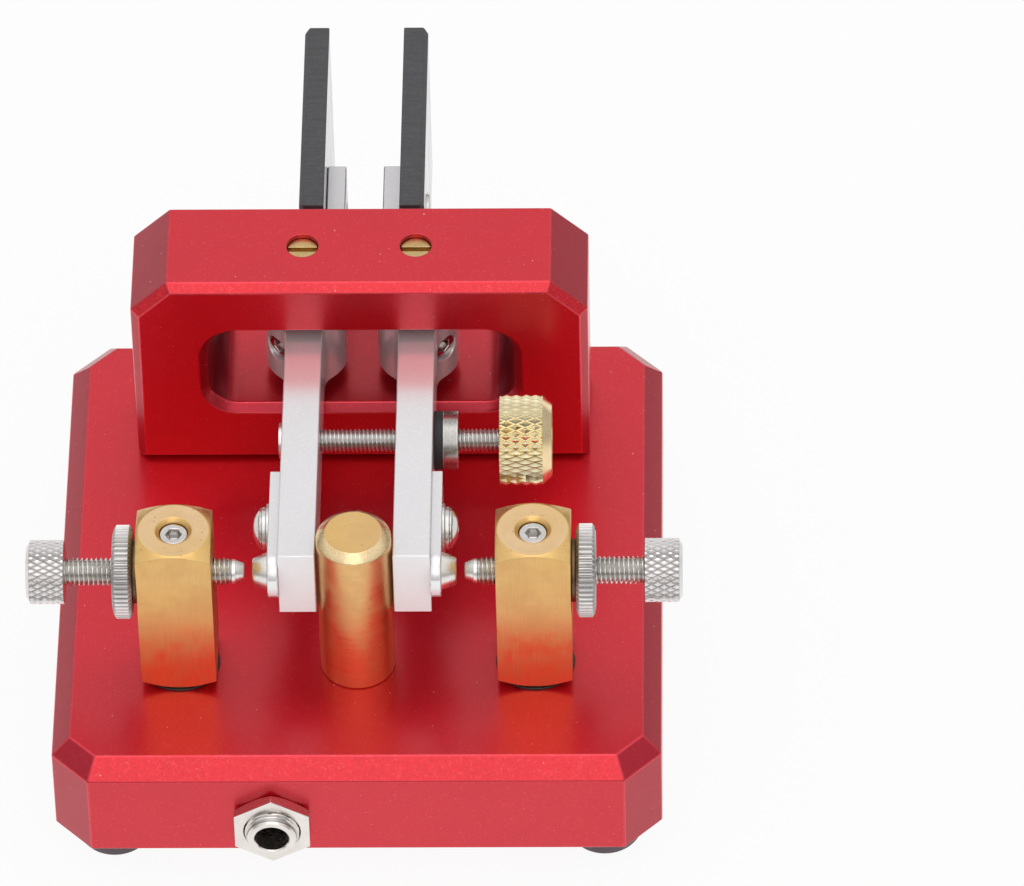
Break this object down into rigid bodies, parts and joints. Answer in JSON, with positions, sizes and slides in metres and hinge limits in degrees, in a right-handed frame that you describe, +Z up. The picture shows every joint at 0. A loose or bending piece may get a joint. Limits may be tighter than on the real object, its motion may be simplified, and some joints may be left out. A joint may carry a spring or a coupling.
{
  "type": "double paddle morse key",
  "caption": "Iambic morse key: sprung levers pivot in a bridge on a heavy square base, with finger paddles, adjustable contact screws on posts, a tension knob and a jack.",
  "frame": {"origin": "on the plane of the feet, under the middle of the overall box", "axes": "+Z up, +Y from the jack to the finger paddles, +X to the side of the tension knob"},
  "size_m": [0.0696, 0.0914, 0.0424],
  "materials": {
    "red_anodised": "bead-blasted and red anodised, satin with a fine sparkle",
    "lever_aluminium": "bead-blasted, clear anodised, satin",
    "brass": "turned and milled, handled, with soft wear",
    "stainless": "turned stainless steel",
    "black_steel": "blackened steel",
    "contact_silver": "bright plated contact metal",
    "magnet_nickel": "nickel plated",
    "jack_nickel": "nickel plated",
    "tinned": "tinned",
    "paddle_plastic": "glossy faces, matte dark grey edges",
    "jack_plastic": "moulded black",
    "nylon": "insulating plastic",
    "rubber": "matte black",
    "left_wire": "insulated stranded wire, blue",
    "right_wire": "insulated stranded wire, yellow",
    "common_wire": "insulated stranded wire, black"
  },
  "bodies": {
    "base": {"base_plate": "red_anodised", "rubber_feet": "rubber", "bridge": "red_anodised", "bridge_screws": "black_steel", "upper_pivot_screws": "brass", "lower_pivot_screws": "brass", "stop_post": "brass", "stop_post_screw": "stainless", "left_contact_post": "brass", "right_contact_post": "brass", "post_washers": "nylon", "post_bushes": "nylon", "post_screws": "stainless", "post_grub_screws": "black_steel", "solder_tags": "tinned", "jack_body": "jack_plastic", "jack_bush": "jack_nickel", "jack_nut": "jack_nickel", "jack_tags": "tinned", "left_wire": "left_wire", "right_wire": "right_wire", "common_wire": "common_wire"},
    "left_lever": {"left_lever": "lever_aluminium", "left_pivot_pin": "stainless", "left_hub_screw": "black_steel", "left_paddle": "paddle_plastic", "left_paddle_screws": "stainless", "left_strip": "contact_silver", "left_strip_screw": "stainless", "left_strip_washer": "stainless", "left_spring_washer": "stainless", "left_stud": "contact_silver", "tension_screw": "stainless"},
    "right_lever": {"right_lever": "lever_aluminium", "right_pivot_pin": "stainless", "right_hub_screw": "black_steel", "right_paddle": "paddle_plastic", "right_paddle_screws": "stainless", "right_strip": "contact_silver", "right_strip_screw": "stainless", "right_strip_washer": "stainless", "right_spring_washer": "stainless", "right_stud": "contact_silver", "rubber_washer": "rubber", "ring_magnet": "magnet_nickel"},
    "left_contact_tip": {"left_contact_tip": "contact_silver"},
    "left_contact_screw": {"left_contact_screw": "stainless"},
    "left_nut_washer": {"left_nut_washer": "stainless"},
    "left_thumb_nut": {"left_thumb_nut": "stainless"},
    "right_contact_tip": {"right_contact_tip": "contact_silver"},
    "right_contact_screw": {"right_contact_screw": "stainless"},
    "right_nut_washer": {"right_nut_washer": "stainless"},
    "right_thumb_nut": {"right_thumb_nut": "stainless"},
    "knob_magnet": {"knob_magnet": "magnet_nickel"},
    "tension_knob": {"tension_knob": "brass"}
  },
  "joints": [
    {"name": "left_lever_swing", "type": "hinge", "parent": "base", "child": "left_lever", "pos_m": [-0.0061, 0.00935, 0.02985], "axis": [0, 0, -1], "range_deg": [0, 1.25], "stiffness_Nm_per_rad": 0.2, "springref_deg": -1.72},
    {"name": "right_lever_swing", "type": "hinge", "parent": "base", "child": "right_lever", "pos_m": [0.0061, 0.00935, 0.02985], "axis": [0, 0, 1], "range_deg": [0, 1.25], "stiffness_Nm_per_rad": 0.2, "springref_deg": -1.72},
    {"name": "left_contact_screw_feed", "type": "slide", "parent": "base", "child": "left_contact_tip", "axis": [-1, 0, 0], "range_m": [-0.0006, 0.003]},
    {"name": "left_contact_screw_turn", "type": "hinge", "parent": "left_contact_tip", "child": "left_contact_screw", "pos_m": [-0.02, -0.02755, 0.03035], "axis": [-1, 0, 0], "range_deg": [-433, 2161]},
    {"name": "left_thumb_nut_feed", "type": "slide", "parent": "base", "child": "left_nut_washer", "axis": [-1, 0, 0], "range_m": [0, 0.0015]},
    {"name": "left_thumb_nut_turn", "type": "hinge", "parent": "left_nut_washer", "child": "left_thumb_nut", "pos_m": [-0.024, -0.02755, 0.03035], "axis": [-1, 0, 0], "range_deg": [-1, 1081]},
    {"name": "right_contact_screw_feed", "type": "slide", "parent": "base", "child": "right_contact_tip", "axis": [1, 0, 0], "range_m": [-0.0006, 0.003]},
    {"name": "right_contact_screw_turn", "type": "hinge", "parent": "right_contact_tip", "child": "right_contact_screw", "pos_m": [0.02, -0.02755, 0.03035], "axis": [1, 0, 0], "range_deg": [-433, 2161]},
    {"name": "right_thumb_nut_feed", "type": "slide", "parent": "base", "child": "right_nut_washer", "axis": [1, 0, 0], "range_m": [0, 0.0015]},
    {"name": "right_thumb_nut_turn", "type": "hinge", "parent": "right_nut_washer", "child": "right_thumb_nut", "pos_m": [0.024, -0.02755, 0.03035], "axis": [1, 0, 0], "range_deg": [-1, 1081]},
    {"name": "tension_knob_feed", "type": "slide", "parent": "left_lever", "child": "knob_magnet", "axis": [1, 0, 0], "range_m": [-0.00315, 0.0009]},
    {"name": "tension_knob_turn", "type": "hinge", "parent": "knob_magnet", "child": "tension_knob", "pos_m": [0.018, -0.00775, 0.02985], "axis": [1, 0, 0], "range_deg": [-2521, 721]}
  ],
  "couplings": [
    {"joint": "left_contact_screw_turn", "follows": "left_contact_screw_feed", "rad_per_m": 12566},
    {"joint": "left_thumb_nut_turn", "follows": "left_thumb_nut_feed", "rad_per_m": 12566},
    {"joint": "right_contact_screw_turn", "follows": "right_contact_screw_feed", "rad_per_m": 12566},
    {"joint": "right_thumb_nut_turn", "follows": "right_thumb_nut_feed", "rad_per_m": 12566},
    {"joint": "tension_knob_turn", "follows": "tension_knob_feed", "rad_per_m": 13963}
  ]
}
